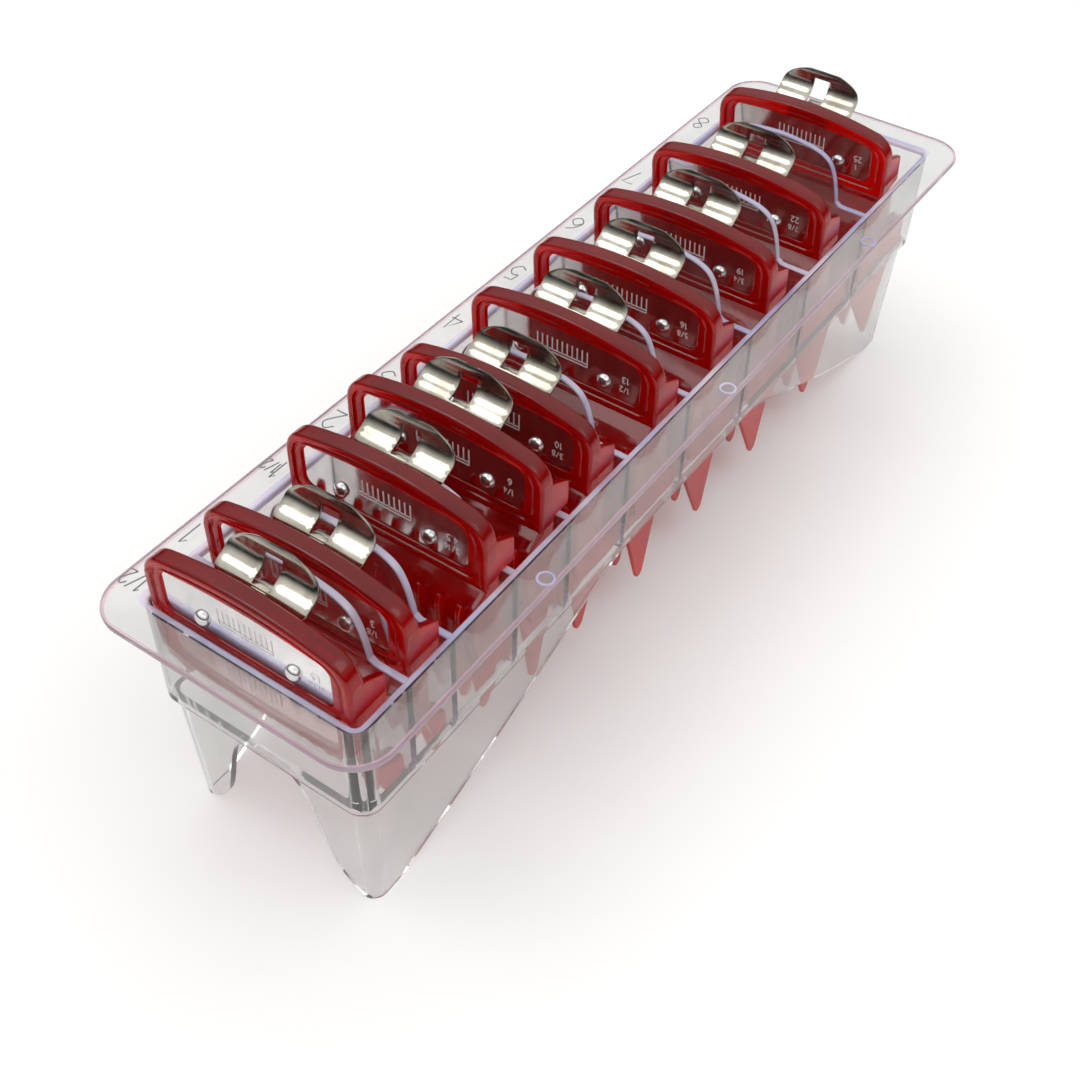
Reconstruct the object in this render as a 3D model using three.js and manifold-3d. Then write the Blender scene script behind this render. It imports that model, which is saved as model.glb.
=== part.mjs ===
// Set of ten hair clipper guide combs standing teeth down in a clear tray.
// Millimetres. X is across the tray, Y runs along it from the shortest comb to the longest, Z is up.
// The origin is on the table, under the middle of the tray.
import * as THREE from 'three';
import { mergeVertices } from 'three/addons/utils/BufferGeometryUtils.js';
import Module from 'manifold-3d';

const wasm = await Module();
wasm.setup();

// Solids that are joined run this far into each other, and cuts run CUT_PAST beyond what they cut.
const JOIN = 0.2;
const CUT_PAST = 1;

// ---- driving dimensions: tray ----
const TRAY_LENGTH = 253.4;
const TRAY_WIDTH = 68;
const FLANGE_TOP = 62;
const FLANGE_THICK = 1.8;
const FLANGE_CORNER = 9;
const BAND_HALF_X = 27;
const BAND_HALF_Y = 119.6;
const BAND_WALL = 1.5;
const BAND_CORNER = 4.5;
const POCKET_CORNER = 1.2;
const BAND_DEPTH = 27.5;
const LEG_INSET = 1.3;
const LEG_WALL = 1.6;
const LEG_DRAFT = 1.2;
const LEG_CORNER = 3.9;
const LEG_INNER_CORNER = 2.5;
const SHELF_THICK = 1.4;
const DIVIDER_THICK = 1.6;
const DIVIDER_DEPTH = 27.5;
const HUMP_HALF = 18.2;
const HUMP_RISE = 14.4;
const DIVIDER_Y = [-104.8, -92, -72.2, -53.7, -31.9, -7, 20.7, 49.2, 80.5];

// ---- driving dimensions: comb ----
const COMB_HALF = 24.6;
const PANEL_FRONT = -0.8;
const PANEL_BACK = 3.2;
const PANEL_TOP = 16;
const PANEL_CORNER_TOP = 13.9;
const PANEL_CORNER = 6.5;
const PANEL_FOOT = -17;
const FRAME_FOOT = -3.6;
const WALL_HALF = 24.2;
const WALL_FRONT = 1.2;
const CHEEK_WALL = 1.5;
const CHEEK_FOOT = -25.8;
const EAR_BACK = 8.6;
const OUTER_TOOTH_X = 21.9;
const TOOTH_ROOT = -4.6;
const TOOTH_HEEL_TOP = -20.4;
const TOOTH_HEEL_FOOT = -28;
const FINE_TOOTH = 1.2;
const COARSE_TOOTH = 1.5;
const FINE_COUNT = 10;
const BAR_TOP = -21.5;
const BAR_HALF = 1;
const WEB_THICK = 1.5;
const RIVET_X = 10.9;
const RIVET_Z = 3.6;

// ---- driving dimensions: plate, rivet, clip ----
const PLATE_HALF = 20.1;
const PLATE_THICK = 0.4;
const RECESS_FLOOR = 0.5;
const RIM_WIDTH = 2;
const RIM_STEP = 0.5;
const SEAT_GAP = 0.3;
const RIVET_HEAD = 1.75;
const RIVET_DOME = 1.5;
const RIVET_SHANK = 1.2;
const RIVET_TAIL = 1.6;
const RIVET_TAIL_THICK = 0.6;
const RIVET_BORE = 1.55;
const CLIP_THICK = 0.6;
const CLIP_BACK = 4.1;
const CLIP_BASE_HALF = 13.6;
const CLIP_STEM_HALF = 5.8;
const CLIP_WING_HALF = 10.8;
const WING_REACH = 16;
const CLIP_SLOT_HALF = 2.1;
const CLIP_SLOT_FOOT = 13.75;
const CLIP_SLOT_TOP = 18.4;
const CLIP_TONGUE_HALF = 1.7;

// One row for each comb, from the shortest guard to the longest: its name; plateY and lift, which place it
// in the tray; lean, the degrees it tips towards the short combs; the number of teeth; bulge and back, how
// far the teeth reach before and behind the plate; shoulder, the height where the front edge starts to
// slant; and the Y and Z of the tooth end.
const COMBS = [
  ['01', -117, 0, 0, 12, 0, 10.6, -16, 9.4, -31.8],
  ['02', -101.8, 0, 0, 11, 0, 8.4, -14, 7, -33.6],
  ['03', -78.3, 2.2, 0, 10, 6.6, 4.7, -14, 0.4, -39.8],
  ['04', -59.9, 2.8, 0, 8, 7.4, 4.7, -16, -0.4, -47.8],
  ['05', -42.9, 0, 0, 8, 6.4, 9.2, -22, 2.2, -48.6],
  ['06', -17.4, 0, 2, 8, 9.4, 8.2, -23, 1.4, -54.4],
  ['07', 6.9, 0, 4, 8, 10.4, 10.6, -24, 3.4, -54.8],
  ['08', 32.8, 0, 6, 8, 10.2, 12.1, -25, 3.8, -55.2],
  ['09', 60, 0, 8, 8, 9.2, 14.6, -26, 4.6, -55.6],
  ['10', 94.8, 0, 9, 8, 12.4, 15.4, -27, 4, -56],
].map(([name, plateY, lift, lean, teeth, bulge, back, shoulder, tipY, tipZ]) => (
  { name, plateY, lift, lean, teeth, bulge, back, shoulder, tip: [tipY, tipZ] }));

// ---- solid helpers ----
function toSolid(geometry) {
  const bare = geometry.index ? geometry.toNonIndexed() : geometry.clone();
  bare.deleteAttribute('normal');
  bare.deleteAttribute('uv');
  const merged = mergeVertices(bare, 1e-5);
  return new wasm.Manifold(new wasm.Mesh({
    numProp: 3,
    vertProperties: new Float32Array(merged.attributes.position.array),
    triVerts: new Uint32Array(merged.index.array),
  }));
}

function toGeometry(solid) {
  const mesh = solid.getMesh();
  const geometry = new THREE.BufferGeometry();
  geometry.setAttribute('position', new THREE.BufferAttribute(new Float32Array(mesh.vertProperties), 3));
  geometry.setIndex(new THREE.BufferAttribute(new Uint32Array(mesh.triVerts), 1));
  geometry.computeVertexNormals();
  return geometry;
}

function shapeFrom(points) {
  const shape = new THREE.Shape();
  shape.setFromPoints(points.map(([a, b]) => new THREE.Vector2(a, b)));
  return shape;
}

function prism(points, low, high) {
  return new THREE.ExtrudeGeometry(shapeFrom(points), { depth: high - low, bevelEnabled: false, steps: 1 });
}

// Outline in X and Z, pushed through Y.
function alongY(points, low, high) {
  const geometry = prism(points, low, high);
  geometry.rotateX(Math.PI / 2);
  geometry.translate(0, high, 0);
  return toSolid(geometry);
}

// Outline in Y and Z, pushed through X.
function alongX(points, low, high) {
  const geometry = prism(points, low, high);
  geometry.applyMatrix4(new THREE.Matrix4().set(0, 0, 1, low, 1, 0, 0, 0, 0, 1, 0, 0, 0, 0, 0, 1));
  return toSolid(geometry);
}

// Outline in X and Y, pushed through Z.
function alongZ(points, low, high) {
  const geometry = prism(points, low, high);
  geometry.translate(0, 0, low);
  return toSolid(geometry);
}

function roundedRectangle(halfX, halfY, radius, steps) {
  const points = [];
  const centres = [[halfX - radius, halfY - radius], [radius - halfX, halfY - radius],
    [radius - halfX, radius - halfY], [halfX - radius, radius - halfY]];
  centres.forEach(([x, y], corner) => {
    for (let i = 0; i <= steps; i += 1) {
      const angle = (corner + i / steps) * Math.PI / 2;
      points.push([x + radius * Math.cos(angle), y + radius * Math.sin(angle)]);
    }
  });
  return points;
}

// A rounded block whose outline shrinks by draft towards its foot.
function draftedBlock(halfX, halfY, radius, low, high, draft) {
  const top = roundedRectangle(halfX, halfY, radius, 4);
  const bottom = roundedRectangle(halfX - draft, halfY - draft, radius - draft * 0.4, 4);
  const count = top.length;
  const positions = [];
  bottom.forEach(([x, y]) => positions.push(x, y, low));
  top.forEach(([x, y]) => positions.push(x, y, high));
  positions.push(0, 0, low, 0, 0, high);
  const index = [];
  for (let i = 0; i < count; i += 1) {
    const next = (i + 1) % count;
    index.push(i, next, count + next, i, count + next, count + i);
    index.push(next, i, 2 * count);
    index.push(count + i, count + next, 2 * count + 1);
  }
  const geometry = new THREE.BufferGeometry();
  geometry.setAttribute('position', new THREE.BufferAttribute(new Float32Array(positions), 3));
  geometry.setIndex(index);
  return toSolid(geometry);
}

function smooth(points, count) {
  const curve = new THREE.SplineCurve(points.map(([a, b]) => new THREE.Vector2(a, b)));
  return curve.getSpacedPoints(count).map((p) => [p.x, p.y]);
}

function mirrored(rightSide) {
  return rightSide.concat(rightSide.slice().reverse().map(([a, b]) => [-a, b]));
}

// A bent sheet: the centre line in Y and Z, thickened and pushed through X.
function bentSheet(path, thick, halfX) {
  const left = [];
  const right = [];
  path.forEach((point, i) => {
    const before = path[Math.max(0, i - 1)];
    const after = path[Math.min(path.length - 1, i + 1)];
    const length = Math.hypot(after[0] - before[0], after[1] - before[1]);
    const normal = [-(after[1] - before[1]) / length, (after[0] - before[0]) / length];
    left.push([point[0] + normal[0] * thick / 2, point[1] + normal[1] * thick / 2]);
    right.push([point[0] - normal[0] * thick / 2, point[1] - normal[1] * thick / 2]);
  });
  return alongX(right.concat(left.reverse()), -halfX, halfX);
}

// ---- tray ----
// Arch between the two legs of an end, drawn down from the flange top.
function endArch() {
  const side = [[24, -FLANGE_TOP - 1], [21.4, -61], [18.4, -59], [15.6, -55.5], [13.6, -50], [11.6, -42],
    [9.6, -35], [7.2, -30.6], [4.4, -28.9], [1.5, -28.5]];
  return mirrored(smooth(side, 9)).map(([x, z]) => [x, z + FLANGE_TOP]);
}

// Long low arch under a side wall.
function sideArch() {
  const side = [[110.6, -FLANGE_TOP - 1], [107.5, -61.2], [103, -59.5], [96, -56.9], [85, -52.9], [72, -47.6],
    [60, -42.4], [48, -37], [38, -32.8], [29, -30], [19, -28.7], [8, -28.5]];
  return mirrored(smooth(side, 10)).map(([y, z]) => [y, z + FLANGE_TOP]);
}

// A cross wall between two pockets, with a rounded hump above the flange.
function dividerOutline() {
  const hump = smooth([[HUMP_HALF, 0], [17.5, 3.4], [16.4, 7.4], [14.6, 10.8], [11.4, 12.8], [6, 13.9],
    [0, HUMP_RISE]], 8);
  const side = [[BAND_HALF_X - BAND_WALL / 2, -DIVIDER_DEPTH], [BAND_HALF_X - BAND_WALL / 2, 0]].concat(hump);
  const outline = side.concat(side.slice(0, -1).reverse().map(([x, z]) => [-x, z]));
  return outline.map(([x, z]) => [x, z + FLANGE_TOP]);
}

function buildTray() {
  const bandFoot = FLANGE_TOP - BAND_DEPTH;
  const legX = BAND_HALF_X - LEG_INSET;
  const legY = BAND_HALF_Y - LEG_INSET;
  let tray = alongZ(roundedRectangle(TRAY_WIDTH / 2, TRAY_LENGTH / 2, FLANGE_CORNER, 5),
    FLANGE_TOP - FLANGE_THICK, FLANGE_TOP);
  tray = tray.add(alongZ(roundedRectangle(BAND_HALF_X, BAND_HALF_Y, BAND_CORNER, 4), bandFoot, FLANGE_TOP));
  tray = tray.add(draftedBlock(legX, legY, LEG_CORNER, 0, bandFoot + JOIN, LEG_DRAFT));
  tray = tray.subtract(alongZ(roundedRectangle(BAND_HALF_X - BAND_WALL, BAND_HALF_Y - BAND_WALL,
    POCKET_CORNER, 2), bandFoot + SHELF_THICK, FLANGE_TOP + CUT_PAST));
  tray = tray.subtract(draftedBlock(legX - LEG_WALL, legY - LEG_WALL, LEG_INNER_CORNER, -JOIN,
    bandFoot + SHELF_THICK + JOIN, LEG_DRAFT));
  tray = tray.subtract(alongY(endArch(), -TRAY_LENGTH, TRAY_LENGTH));
  tray = tray.subtract(alongX(sideArch(), -TRAY_WIDTH, TRAY_WIDTH));
  const outline = dividerOutline();
  DIVIDER_Y.forEach((y) => {
    tray = tray.add(alongY(outline, y - DIVIDER_THICK / 2, y + DIVIDER_THICK / 2));
  });
  return tray;
}

// ---- comb ----
// The face: straight sides, rounded upper corners and a slightly crowned top.
function panelOutline(inset, foot) {
  const half = COMB_HALF - inset;
  const top = PANEL_TOP - inset;
  const corner = PANEL_CORNER_TOP - inset;
  const radius = Math.max(2.2, PANEL_CORNER - inset);
  const side = [[half, foot], [half, corner - radius]];
  for (let i = 1; i <= 3; i += 1) {
    const angle = i / 3 * Math.PI * 0.47;
    side.push([half - radius + radius * Math.cos(angle), corner - radius + radius * Math.sin(angle)]);
  }
  side.push([half * 0.36, top - 0.32]);
  return mirrored(side);
}

// Outline of the plate, grown by a margin for the recess round it.
function plateOutline(margin) {
  const half = PLATE_HALF + margin;
  const side = [[half - 2, 0.4 - margin], [half, 2.4 - margin], [half, 9.1 + margin * 0.4],
    [half - 2.2, 11.2 + margin], [6, 12.3 + margin]];
  return mirrored(side);
}

// A tooth from its root behind the face: front edge, blunt tip, back edge.
function toothOutline(comb) {
  const [tipY, tipZ] = comb.tip;
  const front = comb.bulge;
  const points = [[PANEL_BACK - 0.4, TOOTH_ROOT]];
  if (front > 0) {
    points.push([-front * 0.62, -6.6], [1 - front, -3.4], [-front, -5], [-front * 0.95, comb.shoulder]);
  } else {
    points.push([1.6, TOOTH_ROOT], [1.6, comb.shoulder]);
  }
  points.push([tipY - 1.4, tipZ + 1], [tipY - 0.3, tipZ], [tipY + 1.3, tipZ + 0.8]);
  points.push([comb.back, TOOTH_HEEL_FOOT - comb.back * 0.2], [comb.back, TOOTH_HEEL_TOP]);
  points.push([PANEL_BACK - 0.4, -18.4]);
  return points;
}

// A side plate with an ear behind the face. Its foot is cut at the comb's lean, so that it stays level
// on the ledge.
function cheekOutline(comb) {
  const slope = Math.tan(THREE.MathUtils.degToRad(comb.lean));
  const front = comb.bulge;
  const back = comb.back - 0.2;
  const earFoot = comb.lift > 0 ? -1.6 : -3.2;
  const points = [[-0.2, 6], [-0.2, -3.2]];
  if (front > 0) {
    points.push([-front * 0.62, -5], [0.2 - front, -7.4]);
    points.push([0.6 - front, Math.max(comb.shoulder, CHEEK_FOOT + 2)]);
    points.push([2.4 - front, CHEEK_FOOT - slope * (2.4 - front)]);
  } else {
    points.push([0.4, -13], [4.6, CHEEK_FOOT]);
  }
  points.push([back, CHEEK_FOOT - slope * back], [back, -20.6]);
  points.push([PANEL_BACK + 0.4, -17.6], [PANEL_BACK + 0.4, earFoot]);
  points.push([EAR_BACK, earFoot], [EAR_BACK, 4.6], [PANEL_BACK - 0.4, 7.8]);
  return points;
}

// The two rivet holes, bored through Y.
function drill(solid, low, high) {
  let result = solid;
  [-RIVET_X, RIVET_X].forEach((x) => {
    const bore = new THREE.CylinderGeometry(RIVET_BORE, RIVET_BORE, high - low, 8);
    bore.translate(x, (low + high) / 2, RIVET_Z);
    result = result.subtract(toSolid(bore));
  });
  return result;
}

// Frame with its recess, back wall, front web, two cheeks, the teeth, and a bar from each outer tooth
// to its cheek.
function buildComb(comb) {
  let body = alongY(panelOutline(0, FRAME_FOOT), PANEL_FRONT, PANEL_BACK);
  body = body.subtract(alongY(plateOutline(RIM_WIDTH), PANEL_FRONT - CUT_PAST, PANEL_FRONT + RIM_STEP));
  body = body.subtract(alongY(plateOutline(SEAT_GAP), PANEL_FRONT - CUT_PAST, RECESS_FLOOR));
  body = body.add(alongY([[-WALL_HALF, PANEL_FOOT], [WALL_HALF, PANEL_FOOT],
    [WALL_HALF, FRAME_FOOT + 1], [-WALL_HALF, FRAME_FOOT + 1]], WALL_FRONT, PANEL_BACK));
  if (comb.bulge > 0) {
    const web = [[1.8, -3.8], [2.6 - comb.bulge, -9.4], [2.2 - comb.bulge, -14.5]];
    body = body.add(bentSheet(web, WEB_THICK, COMB_HALF - 0.6));
  }
  const cheek = cheekOutline(comb);
  [1, -1].forEach((side) => {
    const inner = side * (COMB_HALF - CHEEK_WALL);
    const outer = side * COMB_HALF;
    body = body.add(alongX(cheek, Math.min(inner, outer), Math.max(inner, outer)));
  });
  const tooth = toothOutline(comb);
  const thick = comb.teeth < FINE_COUNT ? COARSE_TOOTH : FINE_TOOTH;
  for (let i = 0; i < comb.teeth; i += 1) {
    const x = -OUTER_TOOTH_X + 2 * OUTER_TOOTH_X * i / (comb.teeth - 1);
    body = body.add(alongX(tooth, x - thick / 2, x + thick / 2));
  }
  const barY = (comb.back + comb.tip[0]) / 2 - 0.6;
  [-1, 1].forEach((side) => {
    const inner = side * (OUTER_TOOTH_X - JOIN);
    const outer = side * (COMB_HALF - 0.5);
    const bar = [[inner, CHEEK_FOOT + 0.4], [outer, CHEEK_FOOT + 0.4], [outer, BAR_TOP], [inner, BAR_TOP]];
    body = body.add(alongY(side > 0 ? bar : bar.reverse(), barY - BAR_HALF, barY + BAR_HALF));
  });
  return drill(body, PANEL_FRONT - CUT_PAST, PANEL_BACK + CUT_PAST);
}

// The steel sheet that carries the size, set in the recess of the face.
function buildPlate() {
  const plate = alongY(plateOutline(0), -PLATE_THICK / 2, PLATE_THICK / 2);
  return drill(plate, -CUT_PAST, CUT_PAST);
}

// A domed head on the plate, a shank, and a flat tail behind the clip.
function buildRivet() {
  const face = -PLATE_THICK / 2 - SEAT_GAP;
  const length = CLIP_BACK + SEAT_GAP - face;
  const profile = [[0, -RIVET_DOME], [1.1, -1.15], [RIVET_HEAD, 0], [RIVET_SHANK, 0], [RIVET_SHANK, length],
    [RIVET_TAIL, length], [RIVET_TAIL, length + RIVET_TAIL_THICK], [0, length + RIVET_TAIL_THICK]];
  const geometry = new THREE.LatheGeometry(profile.map(([r, y]) => new THREE.Vector2(r, y)), 8);
  geometry.translate(0, face, 0);
  return toSolid(geometry);
}

// The wing is a bent sheet trimmed by a D-shaped outline; the slot's metal is turned out as a tongue.
function buildClip() {
  const middle = CLIP_BACK - CLIP_THICK / 2;
  const baseOutline = mirrored([[CLIP_BASE_HALF, 1], [CLIP_BASE_HALF, 6], [CLIP_STEM_HALF, 8.2],
    [CLIP_STEM_HALF, 11.4]]);
  let clip = alongY(baseOutline, CLIP_BACK - CLIP_THICK, CLIP_BACK);
  const shelf = [[middle, 11], [middle, 12], [middle + 0.25, 12.65], [middle + 0.9, 12.95], [5.7, 13]];
  clip = clip.add(bentSheet(shelf, CLIP_THICK, CLIP_STEM_HALF));
  const wingPath = smooth([[4.95, 13.05], [5.3, 13.9], [6.1, 14.55], [7.2, 14.95], [8.2, 15.7], [8.9, 16.9],
    [9.4, 18.3], [9.75, 19.7], [10.15, 20.5]], 6);
  let wing = bentSheet(wingPath, CLIP_THICK, CLIP_WING_HALF + 1);
  const outline = mirrored([[CLIP_WING_HALF - 1.2, 12], [CLIP_WING_HALF, 14], [CLIP_WING_HALF - 0.9, 17.2],
    [CLIP_WING_HALF - 3.2, 19.6], [CLIP_WING_HALF - 6, 20.7]]);
  wing = wing.intersect(alongY(outline, 0, WING_REACH));
  clip = clip.add(wing);
  clip = clip.subtract(alongY(mirrored([[CLIP_SLOT_HALF, CLIP_SLOT_FOOT], [CLIP_SLOT_HALF, CLIP_SLOT_TOP]]),
    5.6, WING_REACH));
  const tongue = smooth([[5.5, 13.1], [6.6, 13.3], [7.6, 12.9], [8.1, 11.9], [8.2, 10.8]], 3);
  clip = clip.add(bentSheet(tongue, CLIP_THICK, CLIP_TONGUE_HALF));
  return drill(clip, CLIP_BACK - CLIP_THICK - CUT_PAST, CLIP_BACK + CUT_PAST);
}

// ---- materials and assembly ----
const group = new THREE.Group();
group.name = 'guide_comb_set';

function piece(name, geometry, colour, roughness, metalness) {
  const material = new THREE.MeshStandardMaterial({ color: colour, roughness, metalness });
  const mesh = new THREE.Mesh(geometry, material);
  mesh.name = name;
  return mesh;
}

// Adds a comb's piece, tipped with its comb about the plate's foot; x and z place it on the comb.
function seat(comb, mesh, x, z) {
  const lean = THREE.MathUtils.degToRad(comb.lean);
  mesh.rotation.x = lean;
  mesh.position.set(x, comb.plateY - z * Math.sin(lean), FLANGE_TOP + comb.lift + z * Math.cos(lean));
  group.add(mesh);
}

group.add(piece('tray', toGeometry(buildTray()), 0xdfe3f0, 0.12, 0));

const plateGeometry = toGeometry(buildPlate());
const rivetGeometry = toGeometry(buildRivet());
const clipGeometry = toGeometry(buildClip());

COMBS.forEach((comb) => {
  seat(comb, piece(`comb_${comb.name}`, toGeometry(buildComb(comb)), 0xa30a0c, 0.18, 0), 0, 0);
  seat(comb, piece(`label_plate_${comb.name}`, plateGeometry, 0xcfd2d6, 0.16, 1), 0, 0);
  seat(comb, piece(`rivet_left_${comb.name}`, rivetGeometry, 0xc9ccd0, 0.2, 1), -RIVET_X, RIVET_Z);
  seat(comb, piece(`rivet_right_${comb.name}`, rivetGeometry, 0xc9ccd0, 0.2, 1), RIVET_X, RIVET_Z);
  seat(comb, piece(`spring_clip_${comb.name}`, clipGeometry, 0xbfc0bc, 0.24, 1), 0, 0);
});

export default group;
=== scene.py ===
"""Looks for a clear tray that holds ten red guide combs with steel plates, rivets and spring clips.

Lengths in the building functions are millimetres; objects are made in metres, Z up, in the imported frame.
Each comb is drawn upright round an origin just under its own plate, then tipped and placed like its
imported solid.
"""
import math

import bmesh
import bpy
from mathutils import Matrix, Vector


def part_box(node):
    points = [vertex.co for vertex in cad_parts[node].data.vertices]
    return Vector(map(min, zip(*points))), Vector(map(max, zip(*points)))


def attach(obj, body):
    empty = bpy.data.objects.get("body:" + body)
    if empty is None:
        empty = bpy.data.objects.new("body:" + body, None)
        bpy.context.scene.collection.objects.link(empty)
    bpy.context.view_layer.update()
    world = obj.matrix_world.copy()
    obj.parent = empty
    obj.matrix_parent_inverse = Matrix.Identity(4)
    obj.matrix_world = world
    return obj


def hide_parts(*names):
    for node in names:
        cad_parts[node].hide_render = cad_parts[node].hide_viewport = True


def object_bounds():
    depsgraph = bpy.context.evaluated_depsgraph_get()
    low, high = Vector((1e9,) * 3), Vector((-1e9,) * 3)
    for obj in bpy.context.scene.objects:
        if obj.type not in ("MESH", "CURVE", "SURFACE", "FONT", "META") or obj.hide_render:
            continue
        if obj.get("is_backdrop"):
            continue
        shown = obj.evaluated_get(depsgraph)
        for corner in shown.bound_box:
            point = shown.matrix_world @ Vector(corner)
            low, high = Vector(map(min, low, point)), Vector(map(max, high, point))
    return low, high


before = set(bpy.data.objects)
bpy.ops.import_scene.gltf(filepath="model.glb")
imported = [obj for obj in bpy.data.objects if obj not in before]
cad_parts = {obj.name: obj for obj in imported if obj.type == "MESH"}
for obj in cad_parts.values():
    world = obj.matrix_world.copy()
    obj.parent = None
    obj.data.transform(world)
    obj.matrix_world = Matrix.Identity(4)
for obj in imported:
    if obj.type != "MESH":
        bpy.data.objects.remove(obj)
CAD_LOW, CAD_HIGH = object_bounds()
MM = 0.001

# ---- driving dimensions in millimetres; those of a comb are counted from its own origin ----
TRAY_HALF_X = CAD_HIGH.x / MM
TRAY_HALF_Y = CAD_HIGH.y / MM
PLATE_FOOT = 0.4
FLANGE_TOP = 62.0
FLANGE_THICK = 1.8
FLANGE_CORNER = 9.0
BAND_HALF_X = 27.0
BAND_HALF_Y = 119.6
BAND_WALL = 1.5
BAND_CORNER = 4.5
POCKET_CORNER = 1.2
BAND_DEPTH = 27.5
LEG_INSET = 1.3
LEG_WALL = 1.6
LEG_DRAFT = 1.2
SHELF_THICK = 1.4
DIVIDER_THICK = 1.6
HUMP_HALF = 18.2
HUMP_RISE = 14.4
DIVIDER_Y = (-104.8, -92, -72.2, -53.7, -31.9, -7, 20.7, 49.2, 80.5)
GATE_RING_Y = (-70, 0, 70)
GATE_RING_RADIUS = 1.7
GATE_RING_TUBE = 0.3

COMB_HALF = 24.6
PANEL_FRONT = -0.8
PANEL_BACK = 3.2
PANEL_TOP = 16.0
PANEL_CORNER_TOP = 13.9
PANEL_CORNER = 6.5
FRAME_FOOT = -3.6
WALL_FOOT = -17.0
WALL_FRONT = 1.2
WEB_THICK = 1.5
CHEEK_WALL = 1.5
CHEEK_FOOT = -25.8
EAR_BACK = 8.6
EAR_TOP = 4.6
BAR_TOP = -21.5
TOOTH_ROOT = -4.6
HEEL_TOP = -18.4
HEEL_STEP = -20.4
HEEL_FOOT = -28
FINE_TOOTH = 1.2
COARSE_TOOTH = 1.5
FINE_TOOTH_LEAST = 10
OUTER_TOOTH_X = 21.9
TOOTH_COUNTS = (12, 11, 10, 8, 8, 8, 8, 8, 8, 8)

GROOVE_HALF = 22.7
GROOVE_TOP = 14.3
GROOVE_CORNER_TOP = 12.4
GROOVE_CORNER = 5
GROOVE_FOOT = -1.5
GROOVE_FOOT_CORNER = 2.6

PLATE_HALF = 20.1
PLATE_TOP = 12.3
PLATE_CORNER_TOP = 11.2
PLATE_CORNER = 2.6
PLATE_FOOT_CORNER = 2.0
PLATE_THICK = 0.4
PLATE_FACE = -PLATE_THICK / 2
RIVET_X = 10.9
RIVET_Z = 3.6
RIVET_HEAD = 1.75
RIVET_DOME = 1.15
RIVET_RIM = 0.15
RIVET_SHANK = 1.2

CLIP_Y = 3.8
CLIP_THICK = 0.6
CLIP_BASE_HALF = 13.6
CLIP_BASE_TOP = 6
CLIP_STEM_HALF = 5.8
CLIP_SLOT_HALF = 2.1
CLIP_SLOT_FOOT = 13.9
CLIP_SLOT_TOP = 18.4
CLIP_WING_HALF = 10.8
WING_FOOT = 12.95
WING_WIDEST = 15
WING_CORNER = 1.1
WING_TOP = 20.4

FLANGE_NUMBER_HALF = 2.7
FLANGE_NUMBER_HEIGHT = 6.0
FLANGE_NUMBERS = ("1/2", "1", "11/2", "2", "3", "4", "5", "6", "7", "8")
PLATE_LENGTHS = ("1.5", "3", "4.5", "6", "10", "13", "16", "19", "22", "25")
PLATE_FRACTIONS = ("1/16", "1/8", "3/16", "1/4", "3/8", "1/2", "5/8", "3/4", "7/8", "1")
COMB_NAMES = tuple(f"{i + 1:02d}" for i in range(10))


# ---- outlines ----
def arc(centre_a, centre_b, radius, start, end, steps):
    """Points of a circle's arc, with its start and end in degrees."""
    angles = [math.radians(start + (end - start) * i / steps) for i in range(steps + 1)]
    return [(centre_a + radius * math.cos(t), centre_b + radius * math.sin(t)) for t in angles]


def mirrored(right_side):
    """Makes the right half, from the middle of the foot to the middle of the top, into the whole outline."""
    return right_side + [(-a, b) for a, b in reversed(right_side[1:-1])]


def smooth_line(points, steps):
    """A Catmull-Rom curve through the points."""
    knots = [Vector(p) for p in points]
    knots = [knots[0] * 2 - knots[1]] + knots + [knots[-1] * 2 - knots[-2]]
    line = []
    for i in range(1, len(knots) - 2):
        p0, p1, p2, p3 = knots[i - 1:i + 3]
        for j in range(steps):
            t = j / steps
            line.append(0.5 * (2 * p1 + (p2 - p0) * t + (2 * p0 - 5 * p1 + 4 * p2 - p3) * t ** 2
                               + (3 * p1 - 3 * p2 + p3 - p0) * t ** 3))
    line.append(knots[-2])
    return [tuple(p) for p in line]


def round_corners(points, radius, steps=3):
    """The outline with each corner turned into a short curve."""
    result = []
    for i, corner in enumerate(points):
        here = Vector(corner)
        before = Vector(points[i - 1]) - here
        after = Vector(points[(i + 1) % len(points)]) - here
        cut = min(radius, before.length * 0.45, after.length * 0.45)
        start = here + before.normalized() * cut
        end = here + after.normalized() * cut
        for j in range(steps + 1):
            t = j / steps
            result.append(tuple(start.lerp(here, t).lerp(here.lerp(end, t), t)))
    return result


def counter_clockwise(points):
    """The outline, turned round if it runs clockwise."""
    area = sum(a[0] * b[1] - b[0] * a[1] for a, b in zip(points, points[1:] + points[:1]))
    return list(points) if area > 0 else list(reversed(points))


def inset(points, distance):
    """The closed counter-clockwise outline moved inwards by distance."""
    result = []
    for i, corner in enumerate(points):
        here = Vector(corner)
        before = (here - Vector(points[i - 1])).normalized()
        after = (Vector(points[(i + 1) % len(points)]) - here).normalized()
        inward_before = Vector((-before.y, before.x))
        inward_after = Vector((-after.y, after.x))
        inward = inward_before + inward_after
        inward = inward.normalized() if inward.length > 1e-6 else inward_after
        result.append(tuple(here + inward * distance / max(inward.dot(inward_after), 0.5)))
    return result


def rounded_rectangle(half_x, half_y, radius, steps=8):
    """A centred rectangle with an arc at each corner."""
    points = arc(half_x - radius, half_y - radius, radius, 0, 90, steps)
    points += arc(radius - half_x, half_y - radius, radius, 90, 180, steps)
    points += arc(radius - half_x, radius - half_y, radius, 180, 270, steps)
    points += arc(half_x - radius, radius - half_y, radius, 270, 360, steps)
    return points


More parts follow.
